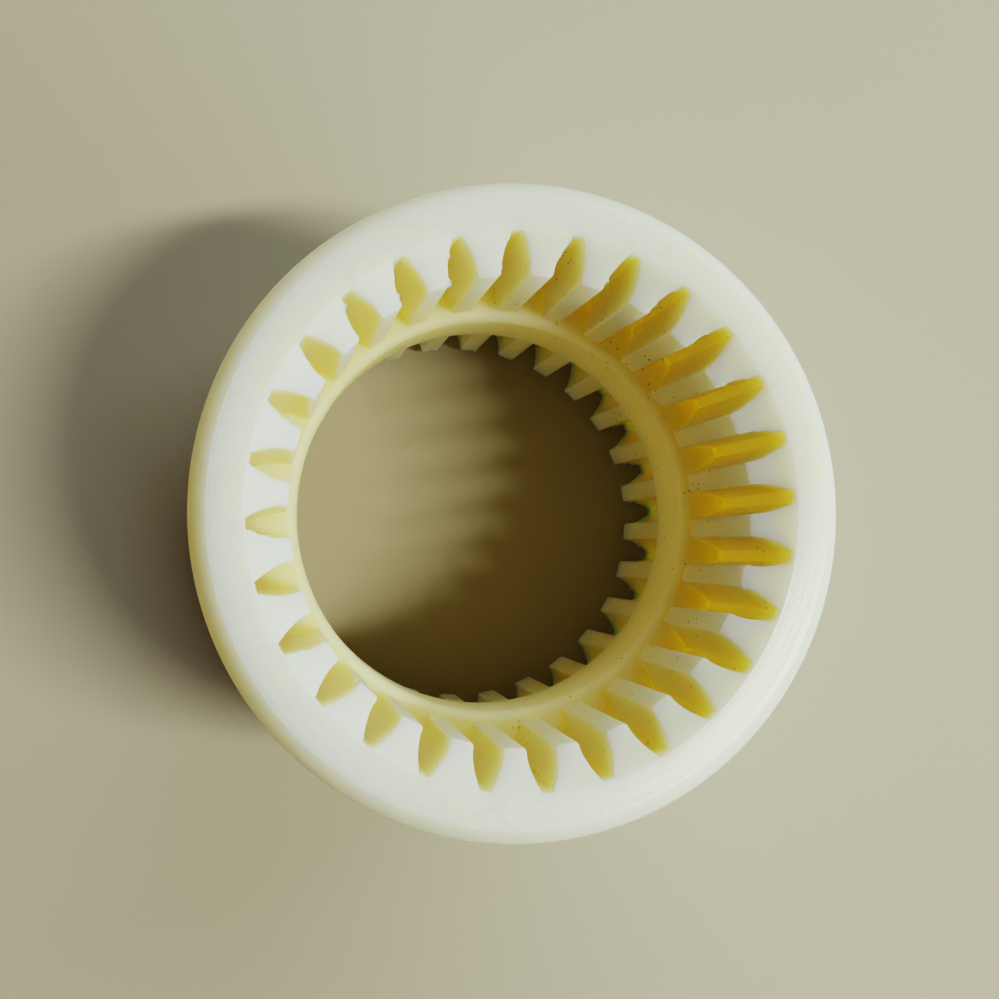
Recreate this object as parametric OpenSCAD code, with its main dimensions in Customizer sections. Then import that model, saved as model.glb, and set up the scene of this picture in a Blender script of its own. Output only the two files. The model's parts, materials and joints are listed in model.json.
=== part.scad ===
// Sleeve of a curved-tooth gear coupling, moulded in one piece.
// A short tube with a ring of internal teeth at each end and a smooth web ring between them.
// Each end takes one toothed hub, pushed in until it stops against the web.
// The axis is Z, and the origin is on the axis in the middle of the web.

/* [Sleeve] */
// Length of the sleeve along its axis
length = 41; // [38:0.5:60]
// Outer diameter of the wall
outer_d = 54.7; // [54:0.1:60]
// Radius of the rounding between the wall and each end face
edge_r = 3; // [1.5:0.1:4]
// Width, seen along the axis, of the rounding that is left after the end face is turned flat
edge_w = 1.5; // [0.3:0.1:1.5]

/* [Teeth] */
// Number of internal teeth in each end
teeth = 28; // [26:2:28]
// Module of the teeth, which is the pitch diameter divided by the number of teeth
tooth_module = 1.5; // [1.4:0.05:1.5]
// Pressure angle of the flanks at the pitch circle
pressure_angle = 16; // [14:0.5:20]
// Rounding at the two long edges of each tooth
tip_round = 0.25; // [0.1:0.05:0.35]
// Rounding in the two corners at the bottom of each tooth space
root_round = 0.2; // [0.05:0.05:0.25]
// Depth from an end face to the web, which is the length of the teeth
socket_depth = 16.5; // [12:0.5:17]
// Depth of the dish that leads in to the teeth, at their tips
dish_depth = 1.9; // [0.5:0.1:2.5]
// Distance from the root circle out to the rim of the dish
dish_margin = 0.125; // [0.05:0.025:0.5]

/* [Web] */
// How far the web stands in past the tips of the teeth
web_lip = 1; // [0.5:0.1:3]
// Rounding of the two rims of the hole in the web
web_round = 0.9; // [0.2:0.1:1.5]

/* [Hidden] */

natural_nylon = [0.87, 0.87, 0.76];
addendum = 1;
dedendum = 1.25;
flank_steps = 7;
round_steps = 3;
spill = 0.5;
fine = 96;

half_length = length / 2;
wall_r = outer_d / 2;
pitch_r = tooth_module * teeth / 2;
tip_r = pitch_r - addendum * tooth_module;
root_r = pitch_r + dedendum * tooth_module;
base_r = pitch_r * cos(pressure_angle);
dish_r = root_r + dish_margin;
dish_slope = (dish_r - tip_r) / dish_depth;
web_r = tip_r - web_lip;
web_half = half_length - socket_depth;
web_z = web_half - web_round;

// The wall's rounding is an arc whose top is cut off by the turned end face.
edge_centre_r = wall_r - edge_r;
edge_centre_z = half_length - sqrt(pow(edge_r, 2) - pow(edge_r - edge_w, 2));

// Involute function, in degrees.
function involute(angle) = tan(angle) * 180 / PI - angle;

// Half the angle that a tooth space takes up at radius r. Inside the base circle it stays constant.
function space_angle(r) =
    90 / teeth + involute(pressure_angle) - involute(acos(min(1, base_r / r)));

// Point on the flank of a tooth space, moved sideways by shift.
function flank_point(r, shift = 0) =
    [r * cos(space_angle(r)), r * sin(space_angle(r)) + shift];

// Points of an arc that ends the flank, from angle a0 to a1.
function arc_points(centre, r, a0, a1, steps) =
    [for (i = [0 : steps]) centre + r * [cos(a0 + (a1 - a0) * i / steps), sin(a0 + (a1 - a0) * i / steps)]];

// One half of a tooth space, from its opening to its bottom. It follows the rounded tooth edge,
// the flank and the rounded bottom corner.
tip_centre = flank_point(tip_r + tip_round, tip_round);
root_centre = flank_point(root_r - root_round, -root_round);
half_space = concat(
    arc_points(tip_centre, tip_round, 180, 270, round_steps),
    [for (i = [1 : flank_steps])
        flank_point(tip_r + tip_round + (root_r - root_round - tip_r - tip_round) * i / flank_steps)],
    [root_centre + root_round * [cos(45), sin(45)]],
    [[root_r, root_centre[1]]]
);
mouth = [[web_r - spill, half_space[0][1]]];
space_outline = concat(
    mouth,
    half_space,
    [for (i = [len(half_space) - 1 : -1 : 0]) [half_space[i][0], -half_space[i][1]]],
    [[mouth[0][0], -mouth[0][1]]]
);

module both_ends() {
    children();
    mirror([0, 0, 1]) children();
}

// Section of the outer body, to the right of the axis.
module body_section() {
    intersection() {
        translate([0, -half_length]) square([wall_r, length]);
        union() {
            translate([0, -half_length]) square([edge_centre_r, length]);
            translate([0, -edge_centre_z]) square([wall_r, 2 * edge_centre_z]);
            for (side = [-1, 1])
                translate([edge_centre_r, side * edge_centre_z]) circle(r = edge_r);
        }
    }
}

// Section of the material that the hole through the web takes away, with its rounded rims.
module web_hole_section() {
    difference() {
        translate([0, -web_half]) square([web_r + web_round, length - 2 * socket_depth]);
        translate([web_r, -web_z]) square([2 * web_round, 2 * web_z]);
        for (side = [-1, 1])
            translate([web_r + web_round, side * web_z]) circle(r = web_round);
    }
}

// The round part of a socket: the bore over the tips of the teeth, and the dish at its mouth.
module socket() {
    translate([0, 0, web_half]) cylinder(r = tip_r, h = socket_depth + spill);
    translate([0, 0, half_length - dish_depth - web_lip / dish_slope])
        cylinder(
            h = dish_depth + web_lip / dish_slope + spill,
            r1 = web_r,
            r2 = dish_r + spill * dish_slope
        );
}

module tooth_spaces() {
    for (i = [0 : teeth - 1])
        rotate([0, 0, i * 360 / teeth])
            translate([0, 0, web_half]) linear_extrude(height = socket_depth + spill) polygon(space_outline);
}

module coupling_sleeve() {
    color(natural_nylon)
        difference() {
            rotate_extrude($fn = fine) body_section($fn = fine);
            rotate_extrude($fn = fine) web_hole_section($fn = fine);
            both_ends() {
                socket($fn = fine);
                tooth_spaces();
            }
        }
}

coupling_sleeve();
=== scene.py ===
# Gear coupling sleeve in natural nylon, standing on end under a strip light and two soft panels.
#
# The frame holds the CAD sleeve. A finer mesh of the same size replaces it. That mesh is built ring by
# ring around one closed section: wall, rounded edge, turned end face, dish, teeth and web, and the same
# again at the other end. Lengths in the mesh code are in millimetres. They become metres when the mesh
# is made.

import json
import math

import bpy
import numpy as np
from mathutils import Euler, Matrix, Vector


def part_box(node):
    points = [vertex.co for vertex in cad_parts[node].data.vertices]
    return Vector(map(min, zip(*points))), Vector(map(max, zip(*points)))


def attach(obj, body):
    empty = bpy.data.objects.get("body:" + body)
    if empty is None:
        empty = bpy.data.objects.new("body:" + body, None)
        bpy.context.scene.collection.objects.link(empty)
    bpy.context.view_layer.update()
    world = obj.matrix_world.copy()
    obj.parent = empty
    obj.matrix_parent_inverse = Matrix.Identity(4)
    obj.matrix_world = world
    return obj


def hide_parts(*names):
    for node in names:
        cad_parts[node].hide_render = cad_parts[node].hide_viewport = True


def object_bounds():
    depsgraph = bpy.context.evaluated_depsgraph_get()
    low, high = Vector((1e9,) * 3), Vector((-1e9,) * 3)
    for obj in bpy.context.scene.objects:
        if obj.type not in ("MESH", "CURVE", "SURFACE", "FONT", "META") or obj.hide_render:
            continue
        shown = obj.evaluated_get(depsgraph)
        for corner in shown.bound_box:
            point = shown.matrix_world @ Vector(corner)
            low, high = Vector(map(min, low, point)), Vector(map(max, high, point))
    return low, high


MM = 0.001
NODE = "coupling_sleeve"

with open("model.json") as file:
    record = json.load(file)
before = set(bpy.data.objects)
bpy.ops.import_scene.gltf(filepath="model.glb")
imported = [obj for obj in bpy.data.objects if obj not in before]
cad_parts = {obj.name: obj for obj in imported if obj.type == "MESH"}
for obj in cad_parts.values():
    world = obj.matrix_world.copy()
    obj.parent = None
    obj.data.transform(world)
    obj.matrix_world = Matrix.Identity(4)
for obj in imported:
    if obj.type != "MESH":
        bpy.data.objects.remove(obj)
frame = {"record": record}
cad_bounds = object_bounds()
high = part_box(NODE)[1]
mounts = {m["name"]: m for m in frame["record"]["mounts"]}

# ------------------------------------------------------------ sizes of the sleeve, as in the CAD model

WALL_R = high.x / MM
HALF = high.z / MM
EDGE_R = 3.0
EDGE_W = 1.5
TEETH = 28
MODULE = 1.5
PRESSURE_ANGLE = math.radians(16)
TIP_ROUND = 0.25
ROOT_ROUND = 0.2
SOCKET_DEPTH = 16.5
DISH_DEPTH = 1.9
DISH_MARGIN = 0.125
WEB_ROUND = 0.9

PITCH = 2 * math.pi / TEETH
PITCH_R = MODULE * TEETH / 2
TIP_R = PITCH_R - MODULE
ROOT_R = PITCH_R + 1.25 * MODULE
BASE_R = PITCH_R * math.cos(PRESSURE_ANGLE)
DISH_R = ROOT_R + DISH_MARGIN
FACE_R = WALL_R - EDGE_W
WEB_R = mounts["web_hole"]["dims"]["r_mm"]
WEB_HALF = HALF - SOCKET_DEPTH
EDGE_CENTRE_R = WALL_R - EDGE_R
EDGE_CENTRE_Z = HALF - math.sqrt(EDGE_R**2 - (EDGE_R - EDGE_W) ** 2)

# ------------------------------------------------------------ fine detail that the CAD model leaves out

ROUND_STEPS = 10 * TEETH  # points on each plain circle
EDGE_STEPS = 10
WEB_EDGE_STEPS = 7
DISH_ROWS = 6
FLANK_ROWS = 9
BURR_STEPS = 14  # points along a flank that has a burr, and along one that has none
CLEAN_STEPS = 7

GROOVES = 12
GROOVE_STEPS = 4
GROOVE_DEPTH = 0.017
FACE_DROP = 0.002  # the turned face lies this far below the end of the CAD model
RIM_SOFT = 0.05
EDGE_SOFT = 0.07
WEB_FILLET = 0.35
FLANK_SPREAD = math.radians(0.25)

BURR_FLAKES = 4
BURR_MAX = 0.34
BURR_WHITE_AT = 0.12  # a burr this high has the full burr colour
TIP_WHITE = 0.55  # how much of the burr colour the edges of the tooth tips have

# Painted shade: these set how the sockets turn amber with depth below the dish. On the flanks and roots it
# happens over SPACE_FADE. On the tooth lands it happens over LAND_FADE and only up to LAND_AMBER, with
# LAND_BLEND between the two.
LAND_BLEND = 0.6
LAND_FADE = 9.0
LAND_AMBER = 0.85
SPACE_FADE = 3.2

# Colours of the nylon, each as a pair that a soft cloudy pattern mixes.
SKIN = (0.94, 0.965, 0.77, 1), (0.95, 0.975, 0.80, 1)
CUT = (0.92, 0.98, 0.77, 1), (0.93, 0.985, 0.80, 1)
# The inside pair and the deep pair are painted shade. The amber that the socket walls and the web take on
# below the dish stands in for light that reaches them only through the nylon. The deep pair is the same
# amber, a step darker near the web.
INSIDE_SHADE_AMBER = (0.95, 0.80, 0.46, 1), (0.96, 0.82, 0.50, 1)
DEEP = (0.925, 0.79, 0.44, 1), (0.935, 0.81, 0.48, 1)
BURR_WHITE = (0.97, 0.98, 0.94, 1)
SPECK_BROWN = (0.16, 0.09, 0.03, 1)
DEEP_BELOW = 5.65 * MM, 5.95 * MM  # heights between which the inside turns to the deep colour
SPECKS_ALONG_X = -18 * MM, 14 * MM  # no specks before the first, and all of them after the second


def involute(angle):
    return math.tan(angle) - angle


def space_angle(r):
    """Half the angle that a tooth space takes up at radius r, which is constant inside the base circle."""
    at_r = math.acos(min(1.0, BASE_R / r))
    return PITCH / 4 + involute(PRESSURE_ANGLE) - involute(at_r)


def flank_point(r, shift=0.0):
    a = space_angle(r)
    return np.array([r * math.cos(a), r * math.sin(a) + shift])


def arc(centre, r, degrees):
    a = np.radians(degrees)
    return [centre + r * np.array([math.cos(t), math.sin(t)]) for t in a]


def smooth(x, x0, x1):
    t = np.clip((x - x0) / (x1 - x0), 0, 1)
    return t * t * (3 - 2 * t)


def half_outline(flank_steps):
    """Half a tooth space, from the middle of its bottom to the middle of a tooth: radius and angle."""
    root = flank_point(ROOT_R - ROOT_ROUND, -ROOT_ROUND)
    tip = flank_point(TIP_R + TIP_ROUND, TIP_ROUND)
    points = [np.array([ROOT_R, root[1] * t]) for t in (0.0, 0.5, 1.0)]
    points += arc(root, ROOT_ROUND, (30, 60))
    points += [flank_point(r) for r in np.linspace(ROOT_R - ROOT_ROUND, TIP_R + TIP_ROUND, flank_steps + 1)]
    points += arc(tip, TIP_ROUND, (240, 210, 180))
    land = math.atan2(points[-1][1], points[-1][0])
    points += [TIP_R * np.array([math.cos(a), math.sin(a)]) for a in np.linspace(land, PITCH / 2, 3)[1:]]
    xy = np.array(points)
    return np.hypot(xy[:, 0], xy[:, 1]), np.arctan2(xy[:, 1], xy[:, 0])


def whole_outline():
    """The toothed outline all round: radius, angle, its angles on the rim of the dish and of the web, and
    where along a burred flank each point is, from 0 at the root to 1 at the tip, or -1 off that flank."""
    parts = []
    for steps, mirrored in ((BURR_STEPS, False), (CLEAN_STEPS, True)):
        r, a = half_outline(steps)
        up = np.clip((ROOT_R - r) / (ROOT_R - TIP_R - TIP_ROUND), 0, 1)
        spread = FLANK_SPREAD * up * (1 - smooth(a, PITCH * 0.29, PITCH / 2))
        dish = a + spread
        web = a - FLANK_SPREAD * (1 - up) * np.clip(a / (4 * FLANK_SPREAD), 0, 1)
        flank = np.where((a > PITCH * 0.03) & (a < PITCH * 0.34), up, -1.0)
        if mirrored:
            r, a, dish, web = r[::-1], PITCH - a[::-1], PITCH - dish[::-1], PITCH - web[::-1]
            flank = np.full(len(r), -1.0)
        parts.append([v[:-1] for v in (r, a, dish, web, flank)])
    r, a, dish, web, flank = (np.concatenate(v) for v in zip(*parts))
    turns = np.arange(TEETH)[:, None] * PITCH
    a, dish, web = ((turns + v).ravel() for v in (a, dish, web))
    return np.tile(r, TEETH), a, dish, web, np.tile(flank, TEETH)


def ring(r, a, z, **masks):
    """One ring of points, with its angles for stitching and a value per point for each mask."""
    n = len(a)
    r, z = np.broadcast_to(r, n), np.broadcast_to(z, n)
    values = {name: np.broadcast_to(v, n).astype(float) for name, v in masks.items()}
    return {"xyz": np.stack([r * np.cos(a), r * np.sin(a), z], 1), "angle": np.array(a), "masks": values}


def round_angles():
    return np.arange(ROUND_STEPS) * 2 * math.pi / ROUND_STEPS


def circle(r, z, **masks):
    return ring(r, round_angles(), z, **masks)


def burr_heights(flank, rng):
    """How far the ragged burr stands out over the tooth space at each point of the outline, in mm."""
    height = 0.012 * rng.random(len(flank))
    per_tooth = len(flank) // TEETH
    for tooth in range(TEETH):
        part = slice(tooth * per_tooth, (tooth + 1) * per_tooth)
        along = flank[part]
        on = along >= 0
        lip = 0.05 * rng.random(per_tooth) ** 2
        for _ in range(rng.integers(0, BURR_FLAKES + 1)):
            middle = rng.uniform(0.1, 1.0)
            width = rng.uniform(0.03, 0.08)
            flake = BURR_MAX * rng.uniform(0.25, 1.0) ** 1.5
            lip = np.maximum(lip, flake * np.exp(-(((along - middle) / width) ** 2)))
        height[part] += np.where(on, lip, 0)
    return height


def end_rings(rng):
    """The rings of one half, from the middle of the wall, over the end, to the middle of the web hole."""
    rings = [circle(WALL_R, EDGE_CENTRE_Z * t) for t in (0.0, 0.3, 0.6, 0.8, 0.95)]
    crease = math.acos((FACE_R - EDGE_CENTRE_R) / EDGE_R)
    for t in np.linspace(0, 1, EDGE_STEPS):
        a = crease * t if t < 1 else crease - 0.02
        rings.append(circle(EDGE_CENTRE_R + EDGE_R * math.cos(a), EDGE_CENTRE_Z + EDGE_R * math.sin(a)))
    rings.append(circle(FACE_R - 0.012, HALF - 0.008, turned=0.5))

    # Turned ring: concentric scallops left by the tool, each with its own depth.
    outer, inner = FACE_R - RIM_SOFT, DISH_R + RIM_SOFT
    step = (outer - inner) / GROOVES
    for groove in range(GROOVES):
        depth = GROOVE_DEPTH * rng.uniform(0.6, 1.4)
        waves, phase = rng.integers(2, 7), rng.uniform(0, 2 * math.pi)
        for k in range(GROOVE_STEPS):
            u = k / GROOVE_STEPS
            cut = depth * (1 - (2 * u - 1) ** 2) * (1 + 0.25 * np.sin(waves * round_angles() + phase))
            rings.append(circle(outer - step * (groove + u), HALF - FACE_DROP - cut, turned=1.0))
    rings.append(circle(inner, HALF - FACE_DROP, turned=1.0))

    # Dish: a cone from its rim down to the tips of the teeth.
    r, a, dish_a, web_a, flank = whole_outline()
    fall = DISH_DEPTH / (DISH_R - TIP_R)

    def dish_z(radius):
        return HALF - fall * (DISH_R - radius)

    rim = DISH_R - 0.02
    rings.append(ring(rim, dish_a, dish_z(rim) - 0.004, dish=1.0))
    length = np.hypot(rim - r, r * (dish_a - a))
    near = np.clip(EDGE_SOFT / length, 0, 0.45)
    for t in np.linspace(1, 0, DISH_ROWS + 1)[1:]:
        mix = near + (1 - near) * t
        radius = r + (rim - r) * mix
        rings.append(ring(radius, a + (dish_a - a) * mix, dish_z(radius), dish=1.0))

    # Edge of the teeth, with its burr, then the flanks down to the web.
    height = burr_heights(flank, rng)
    xy = np.stack([r * np.cos(a), r * np.sin(a)], 1)
    along = np.roll(xy, -1, 0) - np.roll(xy, 1, 0)
    along /= np.linalg.norm(along, axis=1)[:, None]
    into_space = np.stack([-along[:, 1], along[:, 0]], 1)
    burr = np.maximum(np.clip(height / BURR_WHITE_AT, 0, 1), np.where(r < TIP_R + 0.05, TIP_WHITE, 0))
    soft = 0.35 * EDGE_SOFT

    top = np.minimum(dish_z(r), HALF - 0.02)
    land = 1 - smooth(r, TIP_R, TIP_R + LAND_BLEND)

    def outline_ring(push, z, **masks):
        """A ring along the toothed outline, pushed out over the spaces by a distance for each point."""
        made = ring(r, a, z, **masks)
        made["xyz"][:, :2] = xy + into_space * np.broadcast_to(push, len(xy))[:, None]
        return made

    def painted_shade_amber(depth):
        """Painted shade that turns the colour from the machined face to the amber inside: how far it has
        gone at a depth below the dish.
        """
        return (1 - land) * smooth(depth, 0, SPACE_FADE) + land * LAND_AMBER * smooth(depth, 0, LAND_FADE)

    rings.append(outline_ring(height - 0.3 * soft, top - 0.3 * soft + 0.15 * height, dish=0.5, burr=burr))
    z = top - EDGE_SOFT - 0.3 * height
    rings.append(outline_ring(0.25 * height, z, burr=0.7 * burr, wall=painted_shade_amber(EDGE_SOFT)))
    start = top - 3 * EDGE_SOFT - 0.4 * height
    rings.append(outline_ring(0.0, start, wall=painted_shade_amber(3 * EDGE_SOFT)))
    bottom = WEB_HALF + WEB_FILLET
    for t in np.linspace(0, 1, FLANK_ROWS + 1)[1:]:
        z = start + (bottom - start) * t
        rings.append(outline_ring(0.0, z, wall=painted_shade_amber(top - z)))

    # Fillet on to the web, and the web's own flat face.
    web_rim = WEB_R + WEB_ROUND
    reach = np.hypot(r - web_rim, r * (web_a - a))
    fillet = np.minimum(WEB_FILLET, 0.5 * reach)
    for degrees in (30, 60, 90):
        turn = math.radians(degrees)
        mix = fillet * (1 - math.cos(turn)) / reach
        z = WEB_HALF + WEB_FILLET * (1 - math.sin(turn))
        rings.append(ring(r + (web_rim - r) * mix, a + (web_a - a) * mix, z, web=1.0))
    start = fillet / reach
    for t in (0.35, 0.7, 1.0):
        mix = start + (1 - start) * t
        rings.append(ring(r + (web_rim - r) * mix, a + (web_a - a) * mix, WEB_HALF, web=1.0))
    for t in np.linspace(0, 1, WEB_EDGE_STEPS + 1)[1:]:
        turn = math.radians(90 * t)
        z = WEB_HALF - WEB_ROUND * (1 - math.cos(turn))
        rings.append(circle(WEB_R + WEB_ROUND * (1 - math.sin(turn)), z, web=1.0))
    rings += [circle(WEB_R, (WEB_HALF - WEB_ROUND) * t, web=1.0) for t in (0.6, 0.0)]
    return rings


def stitch(first, second):
    """Triangles between two rings that have different numbers of points, walking round both by angle."""
    faces = []
    n, m = len(first["ids"]), len(second["ids"])
    a = np.append(first["angle"], first["angle"][0] + 2 * math.pi)
    b = np.append(second["angle"], second["angle"][0] + 2 * math.pi)
    i = j = 0
    while i < n or j < m:
        p, q = first["ids"][i % n], second["ids"][j % m]
        if j == m or (i < n and a[i + 1] <= b[j + 1]):
            faces.append((p, first["ids"][(i + 1) % n], q))
            i += 1
        else:
            faces.append((p, second["ids"][(j + 1) % m], q))
            j += 1
    return faces


def bridge(first, second):
    """Quads between two rings that have the same number of points."""
    p, q = first["ids"], second["ids"]
    return np.stack([p, np.roll(p, -1), np.roll(q, -1), q], 1).tolist()


def sleeve_mesh():
    rng = np.random.default_rng(28)
    upper, lower = end_rings(rng), end_rings(rng)
    for one in lower:
        one["xyz"] = one["xyz"] * [1, 1, -1]
    rings = upper + lower[-2:0:-1]
    count = 0
    for one in rings:
        one["ids"] = np.arange(count, count + len(one["xyz"]))
        count += len(one["xyz"])
    faces = []
    for first, second in zip(rings, rings[1:] + rings[:1]):
        same = len(first["ids"]) == len(second["ids"])
        faces += bridge(first, second) if same else stitch(first, second)
    mesh = bpy.data.meshes.new("sleeve")
    points = np.concatenate([one["xyz"] for one in rings])
    mesh.from_pydata(points * MM, [], faces)
    mesh.validate()
    for name in ("turned", "dish", "wall", "web", "burr"):
        values = np.concatenate([one["masks"].get(name, np.zeros(len(one["xyz"]))) for one in rings])
        mesh.attributes.new(name, "FLOAT", "POINT").data.foreach_set("value", values)
    set_normals(mesh, points)
    return mesh


def set_normals(mesh, points):
    """Smooth normals weighted by the area of the faces: the flats stay flat beside their soft edges."""
    mesh.calc_loop_triangles()
    corners = np.zeros(3 * len(mesh.loop_triangles), np.int32)
    mesh.loop_triangles.foreach_get("vertices", corners)
    corners = corners.reshape(-1, 3)
    a, b, c = (points[corners[:, k]] for k in range(3))
    area_normals = np.cross(b - a, c - a)
    if np.einsum("ij,ij->", a, area_normals) < 0:
        mesh.flip_normals()
        area_normals = -area_normals
    normals = np.zeros_like(points)
    for k in range(3):
        np.add.at(normals, corners[:, k], area_normals)
    normals /= np.linalg.norm(normals, axis=1)[:, None]
    mesh.shade_smooth()
    mesh.normals_split_custom_set_from_vertices(normals)


# ------------------------------------------------------------ materials


class Nodes:
    """Short calls that add shader nodes to one material."""

    def __init__(self, name):
        self.material = bpy.data.materials.new(name)
        self.material.use_nodes = True
        self.tree = self.material.node_tree
        self.shader = self.tree.nodes["Principled BSDF"]

    def add(self, kind, inputs=None, **settings):
        node = self.tree.nodes.new(kind)
        for key, value in settings.items():
            setattr(node, key, value)
        for key, value in (inputs or {}).items():
            self.put(node.inputs[key], value)
        return node

    def put(self, socket, value):
        if isinstance(value, bpy.types.NodeSocket):
            self.tree.links.new(value, socket)
        else:
            socket.default_value = value

    def math(self, operation, a, b=0.0):
        return self.add("ShaderNodeMath", {0: a, 1: b}, operation=operation).outputs[0]

    def noise(self, place, scale, detail=2.0, roughness=0.5):
        inputs = {"Vector": place, "Scale": scale, "Detail": detail, "Roughness": roughness}
        return self.add("ShaderNodeTexNoise", inputs).outputs["Fac"]

    def mask(self, name):
        return self.add("ShaderNodeAttribute", attribute_name=name).outputs["Fac"]

    def ramp(self, value, start, end):
        inputs = {"Value": value, "From Min": start, "From Max": end}
        return self.add("ShaderNodeMapRange", inputs, interpolation_type="SMOOTHSTEP").outputs["Result"]

    def mix(self, factor, a, b):
        node = self.add("ShaderNodeMix", data_type="RGBA")
        self.put(node.inputs["Factor"], factor)
        self.put(node.inputs["A"], a)
        self.put(node.inputs["B"], b)
        return node.outputs["Result"]


def natural_nylon():
    n = Nodes("natural_nylon")
    place = n.add("ShaderNodeTexCoord").outputs["Object"]
    wall, web, burr, turned = (n.mask(name) for name in ("wall", "web", "burr", "turned"))

    cloud = n.ramp(n.noise(place, 90.0, 3.0), 0.35, 0.65)
    skin, cut, inside, deep = (n.mix(cloud, *pair) for pair in (SKIN, CUT, INSIDE_SHADE_AMBER, DEEP))
    where = n.add("ShaderNodeSeparateXYZ", {"Vector": place}).outputs
    # Painted shade: the walls of the sockets, through the wall mask, and the web, at 0.85, take the amber
    # inside colour in place of light that reaches them only through the nylon. Nearer the middle than
    # DEEP_BELOW, they take the darker deep pair.
    inside = n.mix(n.ramp(n.math("ABSOLUTE", where["Z"]), *DEEP_BELOW), deep, inside)
    base = n.mix(n.math("MAXIMUM", wall, n.math("MULTIPLY", web, 0.85)), skin, inside)
    base = n.mix(n.math("MAXIMUM", turned, n.mask("dish")), base, cut)
    base = n.mix(burr, base, BURR_WHITE)

    # Small dark specks of moulding dust, in the tooth spaces and on the web, and more of them towards +X.
    speck = n.add("ShaderNodeTexVoronoi", {"Vector": place, "Scale": 1100.0})
    chosen = n.math("GREATER_THAN", n.noise(place, 230.0, 2.0), 0.56)
    dot = n.math("MULTIPLY", n.math("LESS_THAN", speck.outputs["Distance"], 0.13), chosen)
    dot = n.math("MULTIPLY", dot, n.math("MAXIMUM", wall, n.math("MULTIPLY", web, 0.5)))
    dot = n.math("MULTIPLY", dot, n.ramp(where["X"], *SPECKS_ALONG_X))
    base = n.mix(dot, base, SPECK_BROWN)
    n.put(n.shader.inputs["Base Color"], base)

    rough = n.math("ADD", 0.50, n.math("MULTIPLY", n.noise(place, 400.0, 3.0), 0.12))
    rough = n.math("SUBTRACT", rough, n.math("MULTIPLY", turned, 0.27))
    n.put(n.shader.inputs["Roughness"], n.math("ADD", rough, n.math("MULTIPLY", burr, 0.25)))

    grain = n.noise(place, 2600.0, 3.0, 0.6)
    ripple = n.noise(place, 260.0, 2.0)
    height = n.math("ADD", n.math("MULTIPLY", grain, 0.25), ripple)
    bump = n.add("ShaderNodeBump", {"Height": height, "Strength": 0.6, "Distance": 0.00003})
    n.put(n.shader.inputs["Normal"], bump.outputs["Normal"])

    n.shader.inputs["IOR"].default_value = 1.53
    n.shader.inputs["Subsurface Weight"].default_value = 1.0
    n.shader.inputs["Subsurface Radius"].default_value = (11.0, 7.5, 2.3)
    n.shader.inputs["Subsurface Scale"].default_value = 1.0 * MM
    return n.material


def plain(name, colour, roughness):
    n = Nodes(name)
    n.shader.inputs["Base Color"].default_value = (*colour, 1)
    n.shader.inputs["Roughness"].default_value = roughness
    return n.material


# ------------------------------------------------------------ camera, floor and light

LAMP_DISTANCE = 1.2
FLOOR_REACH = 3.0


def add_object(name, data):
    thing = bpy.data.objects.new(name, data)
    bpy.context.scene.collection.objects.link(thing)
    return thing


def add_camera():
    data = bpy.data.cameras.new("camera")
    data.sensor_width = 36.0
    data.lens = 42.8
    data.clip_start = 0.005
    camera = add_object("camera", data)
    camera.location = Vector((-21.07, -2.19, 114.37)) * MM
    camera.rotation_euler = Euler([math.radians(v) for v in (2.442, -10.934, -3.084)])
    bpy.context.scene.camera = camera


def add_floor():
    mesh = bpy.data.meshes.new("floor")
    corners = [(x * FLOOR_REACH, y * FLOOR_REACH, 0) for x, y in ((-1, -1), (1, -1), (1, 1), (-1, 1))]
    mesh.from_pydata(corners, [], [(0, 1, 2, 3)])
    floor = add_object("floor", mesh)
    floor.location.z = cad_bounds[0][2]
    mesh.materials.append(plain("pale_board", (0.50, 0.462, 0.38), 0.8))


def add_lamp(name, place, rotation, size, watts, colour):
    data = bpy.data.lights.new(name, "AREA")
    data.shape = "RECTANGLE"
    data.size, data.size_y = size
    data.energy = watts
    data.color = colour
    lamp = add_object(name, data)
    lamp.location = place
    lamp.rotation_euler = rotation


def add_tube(name, slope, turn, size, watts, colour):
    """A strip light over the bench that faces straight down, seen from the part at the given slope."""
    place = Vector((slope[0] * LAMP_DISTANCE, slope[1] * LAMP_DISTANCE, LAMP_DISTANCE + cad_bounds[0][2]))
    add_lamp(name, place, Euler((0, 0, math.radians(turn))), size, watts, colour)


def add_window(name, azimuth, elevation, size, watts, colour):
    """A soft panel that faces the part."""
    a, e = math.radians(azimuth), math.radians(elevation)
    towards = Vector((math.cos(a) * math.cos(e), math.sin(a) * math.cos(e), math.sin(e)))
    turn = towards.to_track_quat("Z", "Y").to_euler()
    add_lamp(name, towards * LAMP_DISTANCE, turn, size, watts, colour)


def add_light():
    world = bpy.data.worlds.new("room")
    bpy.context.scene.world = world
    world.use_nodes = True
    background = world.node_tree.nodes["Background"]
    background.inputs["Color"].default_value = (1.0, 0.52, 0.24, 1)
    background.inputs["Strength"].default_value = 0.08
    add_tube("tube", (0.547, -0.197), turn=7, size=(0.52, 0.075), watts=9.8, colour=(1.06, 1.07, 0.86))
    add_window("window", 55, 36, size=(1.5, 0.45), watts=6.6, colour=(0.88, 1.05, 1.04))
    add_window("low_window", -40, 25, size=(1.0, 0.4), watts=4.6, colour=(0.82, 1.03, 1.08))


# ------------------------------------------------------------ the scene

add_camera()
add_floor()
add_light()

sleeve = add_object("nylon_sleeve", sleeve_mesh())
sleeve.data.materials.append(natural_nylon())
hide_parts(NODE)
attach(sleeve, "root")

bpy.context.scene.view_settings.view_transform = "Filmic"
bpy.context.scene.view_settings.look = "Very High Contrast"
